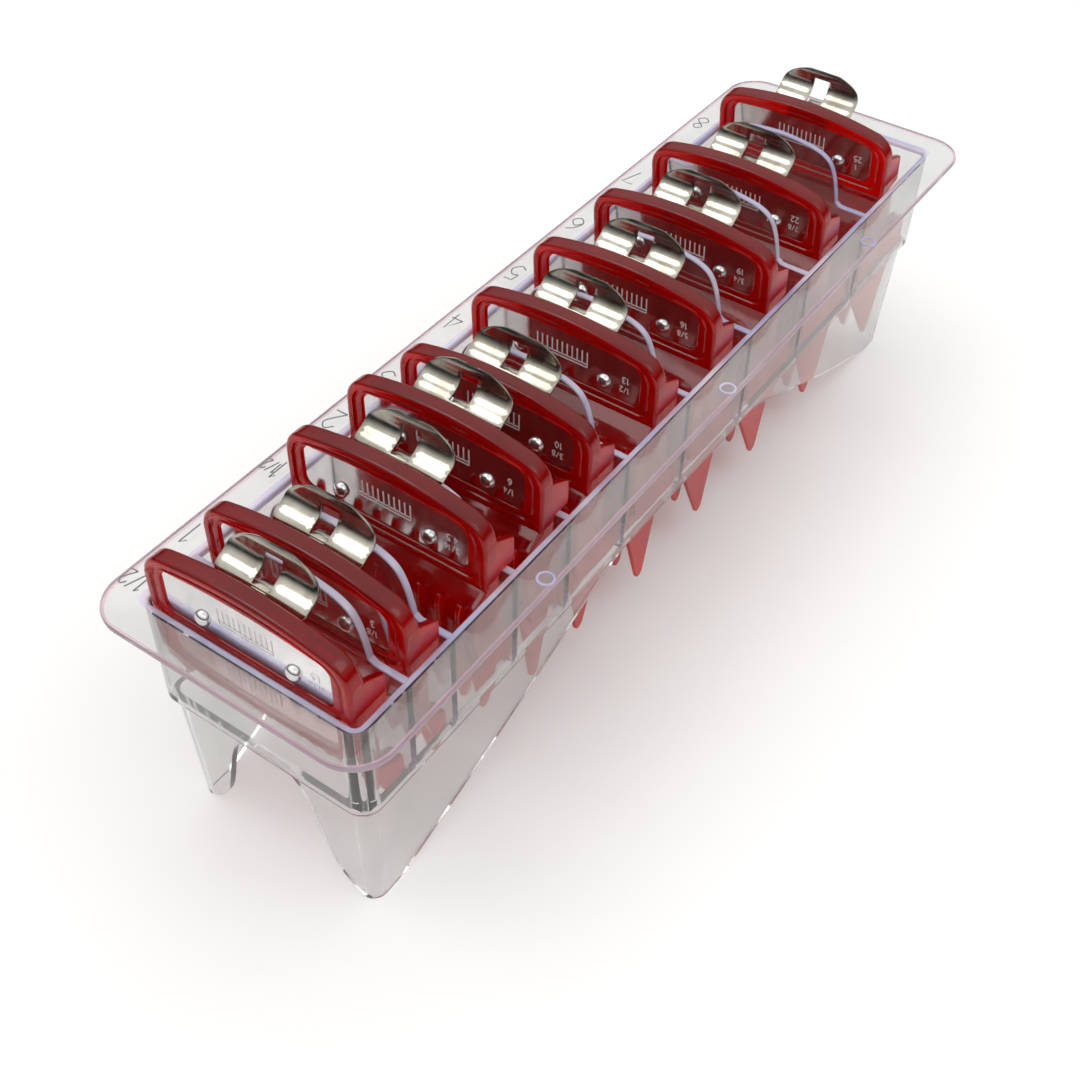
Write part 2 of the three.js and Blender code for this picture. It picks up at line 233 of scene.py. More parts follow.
# ---- solids ----
def loft(bm, rings, material=0, cap_material=0):
    """Closes a stack of rings, each with the same count of points, into a solid."""
    loops = [[bm.verts.new(p) for p in ring] for ring in rings]
    for low, high in zip(loops, loops[1:]):
        for i in range(len(low)):
            j = (i + 1) % len(low)
            face = bm.faces.new((low[i], low[j], high[j], high[i]))
            face.material_index = material
    for cap in (list(reversed(loops[0])), loops[-1]):
        bm.faces.new(cap).material_index = cap_material


# Share of the rounding radius taken inwards and along the depth, from the flat end to the full outline.
ROUND_EDGE = ((1.0, 0.0), (0.5, 0.13), (0.13, 0.5), (0.0, 1.0))


def rounded_prism(bm, outline, low, high, radius, put, material=0, cap_material=0):
    """Pushes an outline from low to high with rounded edges; put(a, b, depth) gives the point in space."""
    outline = counter_clockwise(outline)
    rings = [(radius * i, low + radius * d) for i, d in ROUND_EDGE]
    rings += [(radius * i, high - radius * d) for i, d in reversed(ROUND_EDGE)]
    loft(bm, [[put(a, b, depth) for a, b in inset(outline, step)] for step, depth in rings],
         material, cap_material)


def along_x(a, b, depth):
    """A point of an outline that faces along X."""
    return Vector((depth, a, b))


def along_y(a, b, depth):
    """A point of an outline that faces along Y."""
    return Vector((a, depth, b))


def solid(bm, name, materials):
    """Turns the bmesh, in millimetres, into an object in metres."""
    bmesh.ops.recalc_face_normals(bm, faces=bm.faces)
    bmesh.ops.scale(bm, vec=(MM, MM, MM), verts=bm.verts)
    mesh = bpy.data.meshes.new(name)
    bm.to_mesh(mesh)
    bm.free()
    for material in materials:
        mesh.materials.append(material)
    piece = bpy.data.objects.new(name, mesh)
    bpy.context.scene.collection.objects.link(piece)
    return piece


def combine(base, operand, operation):
    """Joins the operand to the base, or cuts it away, and keeps the result in the base."""
    step = base.modifiers.new("step", "BOOLEAN")
    step.operation = operation
    step.solver = "MANIFOLD"
    step.object = operand
    graph = bpy.context.evaluated_depsgraph_get()
    result = bpy.data.meshes.new_from_object(base.evaluated_get(graph))
    base.modifiers.clear()
    base.data = result
    bpy.data.objects.remove(operand)


def shade(piece, sharp_degrees):
    """Smooth shading that breaks at corners sharper than the angle and keeps broad faces flat."""
    bm = bmesh.new()
    bm.from_mesh(piece.data)
    for face in bm.faces:
        face.smooth = True
    limit = math.radians(sharp_degrees)
    for edge in bm.edges:
        edge.smooth = len(edge.link_faces) == 2 and edge.calc_face_angle(0) < limit
    bm.to_mesh(piece.data)
    bm.free()
    weighted = piece.modifiers.new("flat_faces", "WEIGHTED_NORMAL")
    weighted.keep_sharp = True


def shift(x, y, z):
    """A move in millimetres."""
    return Matrix.Translation(Vector((x, y, z)) * MM)


def comb_place(name):
    """Where a comb stands and how far it tips, read from its packed plate."""
    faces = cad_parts[f"label_plate_{name}"].data.polygons
    front = max((face for face in faces if face.normal.y < 0), key=lambda face: face.area).normal
    low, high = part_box(f"label_plate_{name}")
    tip = Matrix.Rotation(math.atan2(-front.z, -front.y), 4, "X")
    return Matrix.Translation((low + high) / 2) @ tip @ shift(0, 0, -(PLATE_FOOT + PLATE_TOP) / 2)


# ---- materials ----
def new_material(name):
    """A material with its node tree and its main shader."""
    material = bpy.data.materials.new(name)
    material.use_nodes = True
    tree = material.node_tree
    return material, tree, tree.nodes["Principled BSDF"]


def noise(tree, scale, detail=3.0, stretch=(1, 1, 1), distortion=0.0):
    """A noise value between 0 and 1, fixed to the object."""
    place = tree.nodes.new("ShaderNodeTexCoord")
    mapping = tree.nodes.new("ShaderNodeMapping")
    mapping.inputs["Scale"].default_value = stretch
    texture = tree.nodes.new("ShaderNodeTexNoise")
    texture.inputs["Scale"].default_value = scale
    texture.inputs["Detail"].default_value = detail
    texture.inputs["Distortion"].default_value = distortion
    tree.links.new(place.outputs["Object"], mapping.inputs["Vector"])
    tree.links.new(mapping.outputs["Vector"], texture.inputs["Vector"])
    return texture.outputs["Fac"]


def spread(tree, value, low, high, start=0.3, end=0.7):
    """Maps a noise value onto a range."""
    mapped = tree.nodes.new("ShaderNodeMapRange")
    mapped.inputs["From Min"].default_value = start
    mapped.inputs["From Max"].default_value = end
    mapped.inputs["To Min"].default_value = low
    mapped.inputs["To Max"].default_value = high
    tree.links.new(value, mapped.inputs["Value"])
    return mapped.outputs["Result"]


def blend_colours(tree, value, first, second, start=0.3, end=0.7):
    """A colour that runs from first to second as the value goes from start to end."""
    ramp = tree.nodes.new("ShaderNodeValToRGB")
    ramp.color_ramp.elements[0].position = start
    ramp.color_ramp.elements[1].position = end
    ramp.color_ramp.elements[0].color = (*first, 1)
    ramp.color_ramp.elements[1].color = (*second, 1)
    tree.links.new(value, ramp.inputs["Fac"])
    return ramp.outputs["Color"]


def bump(tree, shader, height, strength, distance):
    """Small unevenness of the surface."""
    node = tree.nodes.new("ShaderNodeBump")
    node.inputs["Strength"].default_value = strength
    node.inputs["Distance"].default_value = distance
    tree.links.new(height, node.inputs["Height"])
    tree.links.new(node.outputs["Normal"], shader.inputs["Normal"])


def let_lamps_through(tree, shader, colour):
    """Rays from lamps pass the plastic with a tint, so that what is behind it is lit."""
    path = tree.nodes.new("ShaderNodeLightPath")
    clear = tree.nodes.new("ShaderNodeBsdfTransparent")
    clear.inputs["Color"].default_value = (*colour, 1)
    mix = tree.nodes.new("ShaderNodeMixShader")
    tree.links.new(path.outputs["Is Shadow Ray"], mix.inputs["Fac"])
    tree.links.new(shader.outputs["BSDF"], mix.inputs[1])
    tree.links.new(clear.outputs["BSDF"], mix.inputs[2])
    tree.links.new(mix.outputs["Shader"], tree.nodes["Material Output"].inputs["Surface"])


def red_plastic():
    """See-through red with painted light and shade: a darker red painted on faces that look up, a lighter
    red on faces that look forward or to the side.
    """
    material, tree, shader = new_material("red_plastic")
    geometry = tree.nodes.new("ShaderNodeNewGeometry")
    split = tree.nodes.new("ShaderNodeSeparateXYZ")
    tree.links.new(geometry.outputs["Normal"], split.inputs["Vector"])
    # Painted light and shade: the base colour turns from a lit red on upright faces to a shaded red on faces
    # that look up.
    painted_lit_red, painted_shaded_red = (0.74, 0.0024, 0.0006), (0.33, 0.0003, 0.0012)
    painted_facing_light = blend_colours(tree, split.outputs["Z"], painted_lit_red, painted_shaded_red, 0.15, 0.85)
    flow = spread(tree, noise(tree, 60, 4, distortion=1.2), 0.72, 1.0)
    tint = tree.nodes.new("ShaderNodeVectorMath")
    tint.operation = "SCALE"
    tree.links.new(painted_facing_light, tint.inputs[0])
    tree.links.new(flow, tint.inputs["Scale"])
    tree.links.new(tint.outputs["Vector"], shader.inputs["Base Color"])
    tree.links.new(spread(tree, noise(tree, 240, 5), 0.05, 0.13), shader.inputs["Roughness"])
    bump(tree, shader, noise(tree, 900, 3), 0.05, 0.0002)
    shader.inputs["IOR"].default_value = 1.5
    shader.inputs["Specular IOR Level"].default_value = 0.16
    shader.inputs["Transmission Weight"].default_value = 0.62
    let_lamps_through(tree, shader, (0.6, 0.02, 0.01))
    return material


def clear_plastic(name, first, second, weight, rough_low, rough_high, shadow):
    """Clouded clear plastic; weight is the share of light that it lets through."""
    material, tree, shader = new_material(name)
    cloud = noise(tree, 45, 4, distortion=0.6)
    tree.links.new(blend_colours(tree, cloud, first, second), shader.inputs["Base Color"])
    scuffs = noise(tree, 320, 6, stretch=(1, 0.25, 1))
    tree.links.new(spread(tree, scuffs, rough_low, rough_high, 0.4, 0.75), shader.inputs["Roughness"])
    bump(tree, shader, noise(tree, 110, 3, distortion=0.4), 0.05, 0.0004)
    shader.inputs["IOR"].default_value = 1.49
    shader.inputs["Transmission Weight"].default_value = weight
    let_lamps_through(tree, shader, shadow)
    return material


def steel(name, colour, worn_colour, rough_low, rough_high, stretch, grain):
    """Polished steel with faint stains and a fine brushed grain."""
    material, tree, shader = new_material(name)
    stains = noise(tree, 130, 5, distortion=0.8)
    tree.links.new(blend_colours(tree, stains, worn_colour, colour, 0.32, 0.6), shader.inputs["Base Color"])
    brushing = noise(tree, grain, 4, stretch=stretch)
    tree.links.new(spread(tree, brushing, rough_low, rough_high), shader.inputs["Roughness"])
    bump(tree, shader, brushing, 0.10, 0.00004)
    shader.inputs["Metallic"].default_value = 1.0
    return material


def print_mark(name, colour, roughness):
    """The speckled surface of an etched or engraved line."""
    material, tree, shader = new_material(name)
    speckle = noise(tree, 2200, 3)
    faded = tuple(c * 0.8 for c in colour)
    tree.links.new(blend_colours(tree, speckle, faded, colour), shader.inputs["Base Color"])
    tree.links.new(spread(tree, speckle, roughness, roughness + 0.2), shader.inputs["Roughness"])
    return material


RED = red_plastic()
CLEAR = clear_plastic("clear_plastic", (0.72, 0.72, 0.715), (0.84, 0.84, 0.83), 0.98, 0.02, 0.08,
                      (0.93, 0.93, 0.93))
# Painted reflection: a lavender tint on the moulded edges, divider tops and gate rings, in place of the
# light that thick clear edges reflect.
CLEAR_EDGE_PAINTED_REFLECTION = clear_plastic("clear_plastic_edge_painted_reflection", (0.42, 0.43, 0.70), (0.78, 0.74, 0.86), 0.35, 0.1, 0.22,
                           (0.85, 0.85, 0.92))
# Painted reflection: a pink-mauve tint on the flange's outer rim, the same kind of edge reflection as the
# lavender above.
CLEAR_RIM_PAINTED_REFLECTION = clear_plastic("clear_plastic_rim_painted_reflection", (0.62, 0.42, 0.50), (0.76, 0.60, 0.66), 0.6, 0.08, 0.2,
                          (0.88, 0.84, 0.87))
TRAY_MATERIALS = (CLEAR, CLEAR_EDGE_PAINTED_REFLECTION, CLEAR_RIM_PAINTED_REFLECTION)
PLATE_STEEL = steel("plate_steel", (0.84, 0.82, 0.82), (0.72, 0.70, 0.71), 0.05, 0.13, (1, 1, 0.05), 900)
CLIP_STEEL = steel("clip_steel", (0.45, 0.43, 0.37), (0.28, 0.26, 0.21), 0.09, 0.22, (1, 0.3, 0.3), 500)
RIVET_STEEL = steel("rivet_steel", (0.80, 0.80, 0.80), (0.62, 0.61, 0.60), 0.12, 0.26, (1, 1, 1), 700)
ETCH = print_mark("etched_marks", (0.80, 0.74, 0.74), 0.55)
FLANGE_INK = print_mark("flange_marks", (0.20, 0.19, 0.22), 0.45)


# ---- tray ----
# Right-hand half of each arch, from its crown to past the floor, counted from the flange top.
END_ARCH = ((1.5, -28.5), (4.4, -28.9), (7.2, -30.6), (9.6, -35), (11.6, -42), (13.6, -50), (15.6, -55.5),
            (18.4, -59), (21.4, -61), (24, -63))
SIDE_ARCH = ((8, -28.5), (19, -28.7), (29, -30), (38, -32.8), (48, -37), (60, -42.4), (72, -47.6),
             (85, -52.9), (96, -56.9), (103, -59.5), (107.5, -61.2), (110.6, -63))


def arch_outline(half):
    """A whole arch between two legs, closed below the floor."""
    right = [(a, b + FLANGE_TOP) for a, b in smooth_line(half, 3)]
    return [(-a, b) for a, b in reversed(right)] + right


def divider_outline():
    """A cross wall with a broad hump that rises over the flange between two soft shoulders."""
    hump = smooth_line([(HUMP_HALF, 0), (17.5, 3.4), (16.4, 7.4), (14.6, 10.8), (11.4, 12.8), (6, 13.9),
                        (0, HUMP_RISE)], 4)
    shoulder = [(HUMP_HALF + 2.2, 0), (HUMP_HALF + 0.9, 0.12), (HUMP_HALF + 0.25, 0.6)]
    wall = BAND_HALF_X - BAND_WALL / 2
    right = [(0, 0.1 - BAND_DEPTH), (wall, 0.1 - BAND_DEPTH), (wall, -0.02)] + shoulder + hump[1:]
    return [(a, b + FLANGE_TOP) for a, b in mirrored(right)]


def tapered_block(bm, half_x, half_y, radius, low, high, draft):
    """A rounded block that narrows by draft towards its foot."""
    rings = []
    for step, z in ((0.5, low), (0.15, low + 0.2), (0, low + 0.6), (0, high)):
        shrink = draft * (high - z) / (high - low) + step
        ring = rounded_rectangle(half_x - shrink, half_y - shrink, max(radius - shrink * 0.4, 0.6))
        rings.append([Vector((x, y, z)) for x, y in ring])
    loft(bm, rings)


# How far the flange's edge is set in, at each height over its underside.
FLANGE_EDGE = ((0.7, 0), (0.2, 0.15), (0, 0.5), (0, 1.3), (0.18, 1.65), (0.6, FLANGE_THICK))


def flange_block(bm):
    """The flat flange with rounded edges, not yet open in the middle."""
    rings = []
    for step, z in FLANGE_EDGE:
        ring = rounded_rectangle(TRAY_HALF_X - step, TRAY_HALF_Y - step, FLANGE_CORNER - step, 12)
        rings.append([Vector((x, y, z + FLANGE_TOP - FLANGE_THICK)) for x, y in ring])
    # The flange's rim faces take material 2, the pink-mauve painted edge reflection.
    loft(bm, rings, material=2)


# How far each part of the pocket grows past the band's inner wall, at each height over the flange top.
POCKET_INSIDE = ((0, SHELF_THICK - BAND_DEPTH), (0, -1.4))
POCKET_MOUTH = ((0, -1.5), (0, -0.9), (0.3, -0.4), (0.9, -0.1), (1.6, 0), (1.6, 1))


def pocket_parts():
    """The space inside the band, then its flared mouth, where the moulded edge is rounded."""
    half_x, half_y = BAND_HALF_X - BAND_WALL, BAND_HALF_Y - BAND_WALL
    # The mouth's faces take material 1, the lavender painted edge reflection.
    for levels, material in ((POCKET_INSIDE, 0), (POCKET_MOUTH, 1)):
        rings = []
        for grow, rise in levels:
            ring = rounded_rectangle(half_x + grow, half_y + grow, POCKET_CORNER + grow, 4)
            rings.append([Vector((x, y, FLANGE_TOP + rise)) for x, y in ring])
        part = bmesh.new()
        loft(part, rings, material, material)
        yield part


def cut_tray(tray, bm):
    """Cuts the closed shape in bm out of the tray."""
    combine(tray, solid(bm, "cutter", TRAY_MATERIALS), "DIFFERENCE")


def build_tray():
    """Flange, band and legs in one block, then hollowed, arched and divided."""
    foot = FLANGE_TOP - BAND_DEPTH
    leg_x, leg_y = BAND_HALF_X - LEG_INSET, BAND_HALF_Y - LEG_INSET
    bm = bmesh.new()
    flange_block(bm)
    tray = solid(bm, "tray_body", TRAY_MATERIALS)

    bm = bmesh.new()
    tapered_block(bm, BAND_HALF_X, BAND_HALF_Y, BAND_CORNER, foot, FLANGE_TOP - 0.9, 0)
    combine(tray, solid(bm, "band", TRAY_MATERIALS), "UNION")
    bm = bmesh.new()
    tapered_block(bm, leg_x, leg_y, BAND_CORNER - 0.6, 0, foot + 0.7, LEG_DRAFT)
    combine(tray, solid(bm, "legs", TRAY_MATERIALS), "UNION")

    for part in pocket_parts():
        cut_tray(tray, part)
    bm = bmesh.new()
    ceiling = foot + SHELF_THICK + 0.2
    tapered_block(bm, leg_x - LEG_WALL, leg_y - LEG_WALL, BAND_CORNER - 2, -0.8, ceiling, LEG_DRAFT)
    cut_tray(tray, bm)
    for half, reach, put in ((END_ARCH, TRAY_HALF_Y, along_y), (SIDE_ARCH, TRAY_HALF_X, along_x)):
        outline = counter_clockwise(arch_outline(half))
        bm = bmesh.new()
        loft(bm, [[put(a, b, depth) for a, b in outline] for depth in (-reach, reach)])
        cut_tray(tray, bm)

    outline = divider_outline()
    bm = bmesh.new()
    for y in DIVIDER_Y:
        # The dividers' edges take material 1, the lavender painted edge reflection.
        rounded_prism(bm, outline, y - DIVIDER_THICK / 2, y + DIVIDER_THICK / 2, 0.35, along_y, material=1)
    combine(tray, solid(bm, "dividers", TRAY_MATERIALS), "UNION")
    shade(tray, 40)
    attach(tray, "tray")
    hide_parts("tray")


# ---- numerals drawn as single strokes in a box one wide and two high ----
STROKES = {
    "0": [[(0.5, 0), (0, 0.9), (0.5, 2), (1, 0.9), (0.5, 0)]],
    "1": [[(0.2, 1.6), (0.55, 2), (0.55, 0)]],
    "2": [[(0, 1.5), (0.5, 2), (0.95, 1.5), (0.6, 0.8), (0, 0)], [(0, 0), (1, 0)]],
    "3": [[(0.05, 1.7), (0.5, 2), (0.9, 1.55), (0.4, 1.1)], [(0.4, 1.1), (1, 0.6), (0.5, 0), (0, 0.3)]],
    "4": [[(0.75, 0), (0.75, 2), (0, 0.6)], [(0, 0.6), (1, 0.6)]],
    "5": [[(0.9, 2), (0.2, 2), (0.12, 1.15)], [(0.12, 1.15), (0.6, 1.3), (1, 0.65), (0.5, 0), (0, 0.25)]],
    "6": [[(0.85, 1.95), (0.3, 1.5), (0, 0.6), (0.5, 0), (0.98, 0.55), (0.5, 1.15), (0.05, 0.7)]],
    "7": [[(0, 2), (1, 2), (0.35, 0)]],
    "8": [[(0.5, 1.1), (0.1, 1.55), (0.5, 2), (0.9, 1.55), (0.5, 1.1), (0, 0.5), (0.5, 0), (1, 0.5),
           (0.5, 1.1)]],
    "9": [[(0.15, 0.05), (0.7, 0.5), (1, 1.4), (0.5, 2), (0.02, 1.45), (0.5, 0.85), (0.95, 1.3)]],
    ".": [[(0.1, 0.05), (0.25, 0.05)]],
    "/": [[(0, -0.1), (0.8, 2.1)]],
}
STROKE_GAP = 0.4
ADVANCE = {".": 0.65, "1": 1.1, "/": 1.15}


def number_lines(text, height):
    """Lines of a number centred on the origin, right way up."""
    scale = height / 2
    lines, at = [], 0.0
    for sign in text:
        for stroke in STROKES[sign]:
            line = smooth_line(stroke, 5) if len(stroke) > 3 else stroke
            lines.append([((x + at) * scale, y * scale) for x, y in line])
        at += ADVANCE.get(sign, 1 + STROKE_GAP)
    half = (at - STROKE_GAP) * scale / 2
    return [[(x - half, y - height / 2) for x, y in line] for line in lines]


def ribbon(bm, line, width, put, low, high):
    """A thin flat stripe along a line."""
    rings = []
    for i, point in enumerate(line):
        before = Vector(line[max(i - 1, 0)])
        after = Vector(line[min(i + 1, len(line) - 1)])
        run = (after - before).normalized()
        side = Vector((-run.y, run.x)) * width / 2
        here = Vector(point)
        left, right = here + side, here - side
        rings.append([put(*left, low), put(*right, low), put(*right, high), put(*left, high)])
    loft(bm, rings)


def turned_on_flange(centre_x, centre_y):
    """Puts points flat on the flange, turned half round its centre."""
    return lambda a, b, depth: Vector((centre_x - a, centre_y - b, FLANGE_TOP + depth))


# Flange numbers with fractions: their digits, the height of these and how far they stand to the side.
FRACTION_NUMBERS = {"1/2": [("1/2", 4.0, 0.0)], "11/2": [("1", 5.4, -2.0), ("1/2", 3.2, 1.1)]}


def build_flange_numbers():
    """Numerals on the left flange, read from the far end of the tray."""
    bm = bmesh.new()
    for name, text in zip(COMB_NAMES, FLANGE_NUMBERS):
        low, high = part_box(f"label_plate_{name}")
        centre = (-(BAND_HALF_X + TRAY_HALF_X) / 2, (low.y + high.y) / 2 / MM + 1.0)
        lines = []
        for digits, height, aside in FRACTION_NUMBERS.get(text, [(text, FLANGE_NUMBER_HEIGHT, 0.0)]):
            lines += [[(a + aside, b) for a, b in line] for line in number_lines(digits, height)]
        shrink = min(1.0, FLANGE_NUMBER_HALF / max(abs(point[0]) for line in lines for point in line))
        for line in lines:
            line = [(a * shrink, b) for a, b in line]
            ribbon(bm, line, 0.32, turned_on_flange(*centre), -0.02, 0.04)
    marks = solid(bm, "flange_numbers", (FLANGE_INK,))
    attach(marks, "tray")


def add_ring(bm, centre):
    """A flat-lying ring of round section."""
    rings = []
    for i in range(24):
        angle = 2 * math.pi * i / 24
        out = Vector((math.cos(angle), math.sin(angle), 0))
        middle = centre + out * GATE_RING_RADIUS
        section = arc(0, 0, GATE_RING_TUBE, 0, 315, 7)
        rings.append([bm.verts.new(middle + out * a + Vector((0, 0, b))) for a, b in section])
    for ring, after in zip(rings, rings[1:] + rings[:1]):
        for j in range(len(ring)):
            k = (j + 1) % len(ring)
            bm.faces.new((ring[j], ring[k], after[k], after[j]))


def build_gate_rings():
    """Three small moulding rings along the right-hand flange edge."""
    bm = bmesh.new()
    x = TRAY_HALF_X - GATE_RING_RADIUS - GATE_RING_TUBE
    for y in GATE_RING_Y:
        add_ring(bm, Vector((x, y, FLANGE_TOP - 0.1)))
    # The rings take the lavender painted edge reflection.
    rings = solid(bm, "gate_rings", (CLEAR_EDGE_PAINTED_REFLECTION,))
    shade(rings, 60)
    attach(rings, "tray")


# ---- comb ----
def frame_ring(half, top, corner_top, radius, foot, foot_radius):
    """Outline of the comb's face: rounded foot corners, rounded upper corners and a low crown."""
    right = [(0, foot)] + arc(half - foot_radius, foot + foot_radius, foot_radius, -90, 0, 5)
    right += arc(half - radius, corner_top - radius, radius, 0, 77, 9)
    end_x, end_z = right[-1]
    for i in range(1, 7):
        x = end_x * (1 - i / 6)
        right.append((x, top - (top - end_z) * (x / end_x) ** 2))
    return mirrored(right)


def outer_ring(step):
    """The comb's own edge, stepped inwards."""
    return frame_ring(COMB_HALF - step, PANEL_TOP - step, PANEL_CORNER_TOP - step, PANEL_CORNER - step,
                      FRAME_FOOT + step, 0.5)


def groove_ring(step):
    """The groove inside the frame, stepped inwards."""
    return frame_ring(GROOVE_HALF - step, GROOVE_TOP - step, GROOVE_CORNER_TOP - step, GROOVE_CORNER - step,
                      GROOVE_FOOT + step, GROOVE_FOOT_CORNER - step)


def plate_ring(grow):
    """The plate's edge, grown outwards."""
    return frame_ring(PLATE_HALF + grow, PLATE_TOP + grow, PLATE_CORNER_TOP + grow, PLATE_CORNER + grow,
                      PLATE_FOOT - grow, PLATE_FOOT_CORNER + grow)


# Each row is an outline, how far it is stepped in or out, and its depth in Y, from the back to the recess.
FACE_PROFILE = (
    (outer_ring, 0.9, PANEL_BACK), (outer_ring, 0.45, PANEL_BACK - 0.08),
    (outer_ring, 0.12, PANEL_BACK - 0.35), (outer_ring, 0, PANEL_BACK - 0.75),
    (outer_ring, 0, PANEL_FRONT + 0.9), (outer_ring, 0.12, PANEL_FRONT + 0.45),
    (outer_ring, 0.45, PANEL_FRONT + 0.12), (outer_ring, 0.9, PANEL_FRONT),
    (groove_ring, -0.15, PANEL_FRONT), (groove_ring, 0, PANEL_FRONT + 0.06),
    (groove_ring, 0.12, PANEL_FRONT + 0.4), (groove_ring, 0.3, PANEL_FRONT + 0.5),
    (groove_ring, 0.55, PANEL_FRONT + 0.44), (groove_ring, 0.75, PANEL_FRONT + 0.22),
    (groove_ring, 1.0, PANEL_FRONT + 0.14), (plate_ring, 0.4, PANEL_FRONT + 0.14),
    (plate_ring, 0.18, PANEL_FRONT + 0.22), (plate_ring, 0.08, PANEL_FRONT + 0.4),
    (plate_ring, 0.08, PLATE_THICK / 2),
)


def measure_comb(name):
    """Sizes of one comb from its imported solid, in millimetres round the comb's own origin.

    tip: middle of the tooth tips. bulge: how far the front stands out, or 0 for a short comb.
    shoulder: foot of the bulge. back: rear of the teeth. slope: how much the tipped Y axis rises per length.
    lifted: whether the comb stands over a hump.
    """
    place = comb_place(name)
    unplace = place.inverted()
    points = [(unplace @ v.co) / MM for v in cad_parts[f"comb_{name}"].data.vertices]
    foot = min(p.z for p in points)
    tip = [p.y for p in points if p.z < foot + 0.05]
    front = -min(p.y for p in points)
    teeth = [p for p in points if abs(p.x) < OUTER_TOOTH_X + 1]
    bulge, shoulder = 0, WALL_FOOT
    if front > 2:
        bulge = front
        shoulder = min(p.z for p in teeth if p.y < -0.93 * front and p.z < -4)
    return {"tip": (sum(tip) / len(tip) + 0.3, foot), "bulge": bulge, "shoulder": shoulder,
            "back": max(p.y for p in teeth if p.z < HEEL_STEP + 0.4), "slope": place[2][1] / place[1][1],
            "lifted": place.translation.z > (FLANGE_TOP + 1) * MM}


def tooth_outline(comb):
    """A tooth from the side: root behind the face, bulging front, point, then the heel at the back."""
    tip_y, tip_z = comb["tip"]
    front, back = comb["bulge"], comb["back"]
    points = [(PANEL_BACK - 0.4, TOOTH_ROOT)]
    if front:
        points += [(-front * 0.62, -6.6), (1 - front, -3.4), (-front, -5), (-front * 0.95, comb["shoulder"])]
    else:
        points += [(1.6, TOOTH_ROOT), (1.6, comb["shoulder"])]
    points += [(tip_y - 1.4, tip_z + 1), (tip_y - 0.3, tip_z), (tip_y + 1.3, tip_z + 0.8)]
    points += [(back, HEEL_FOOT - back * 0.2), (back, HEEL_STEP), (PANEL_BACK - 0.4, HEEL_TOP)]
    return round_corners(points, 1.6)


def cheek_outline(comb):
    """Side plate with an ear behind the face; its foot stays level when the comb is tipped."""
    front, back, slope = comb["bulge"], comb["back"], comb["slope"]
    ear_foot = -1.6 if comb["lifted"] else -3.2
    points = [(-0.2, 6), (-0.2, -3.2)]
    if front:
        points += [(-front * 0.62, -5), (0.2 - front, -7.4)]
        points += [(0.6 - front, max(comb["shoulder"], CHEEK_FOOT + 2))]
        points += [(2.4 - front, CHEEK_FOOT - slope * (2.4 - front))]
    else:
        points += [(0.4, -13), (4.6, CHEEK_FOOT)]
    points += [(back - 0.2, CHEEK_FOOT - slope * (back - 0.2)), (back - 0.2, -20.6)]
    points += [(PANEL_BACK + 0.4, -17.6), (PANEL_BACK + 0.4, ear_foot)]
    points += [(EAR_BACK, ear_foot), (EAR_BACK, EAR_TOP), (PANEL_BACK - 0.4, 7.8)]
    return round_corners(points, 0.9)


def sheet_outline(path, thick):
    """Both sides of a bent sheet, from its centre line."""
    left, right = [], []
    for i, point in enumerate(path):
        before = Vector(path[max(i - 1, 0)])
        after = Vector(path[min(i + 1, len(path) - 1)])
        run = (after - before).normalized()
        side = Vector((-run.y, run.x)) * thick / 2
        left.append(tuple(Vector(point) + side))
        right.append(tuple(Vector(point) - side))
    return left + list(reversed(right))


def add_face():
    """The framed panel, with its groove and the recess for the plate."""
    bm = bmesh.new()
    loft(bm, [[Vector((x, y, z)) for x, z in outline(step)] for outline, step, y in FACE_PROFILE])
    return bm


def add_wall():
    """The flat back under the face, between the cheeks."""
    bm = bmesh.new()
    half, top = COMB_HALF - 0.4, FRAME_FOOT + 1
    rectangle = [(-half, WALL_FOOT), (half, WALL_FOOT), (half, top), (-half, top)]
    rounded_prism(bm, rectangle, WALL_FRONT, PANEL_BACK, 0.3, along_y)
    return bm


def add_web(comb):
    """The sloping front that reaches forward from under the face to the teeth."""
    front = comb["bulge"]
    bm = bmesh.new()
    knots = [(1.2, -2.9), (1.2 - front * 0.55, -5.8), (2.5 - front, -9.4), (2.2 - front, -14.5)]
    sheet = sheet_outline(smooth_line(knots, 4), WEB_THICK)
    rounded_prism(bm, sheet, 0.6 - COMB_HALF, COMB_HALF - 0.6, 0.3, along_x)
    return bm


def add_cheeks(comb):
    """The two side plates."""
    bm = bmesh.new()
    for side in (-1, 1):
        ends = sorted((side * (COMB_HALF - CHEEK_WALL), side * COMB_HALF))
        rounded_prism(bm, cheek_outline(comb), *ends, 0.4, along_x)
    return bm


def add_teeth(comb, count):
    """Blades that thin towards their tips."""
    bm = bmesh.new()
    thick = FINE_TOOTH if count >= FINE_TOOTH_LEAST else COARSE_TOOTH
    foot = comb["tip"][1]
    for i in range(count):
        middle = OUTER_TOOTH_X * (2 * i / (count - 1) - 1)

        def put(y, z, depth):
            thinning = 1 - 0.45 * max(0.0, min(1.0, z / foot))
            return Vector((middle + depth * thinning, y, z))

        rounded_prism(bm, tooth_outline(comb), -thick / 2, thick / 2, 0.3, put)
    return bm


def add_bridges(comb):
    """Short bars that tie the outer teeth to the cheeks."""
    bm = bmesh.new()
    middle = (comb["back"] + comb["tip"][0]) / 2 - 0.6
    for side in (-1, 1):
        left, right = sorted((side * (OUTER_TOOTH_X - 0.2), side * (COMB_HALF - 0.5)))
        low, high = CHEEK_FOOT + 0.4, BAR_TOP
        rectangle = [(left, low), (right, low), (right, high), (left, high)]
        rounded_prism(bm, rectangle, middle - 1, middle + 1, 0.25, along_y)
    return bm


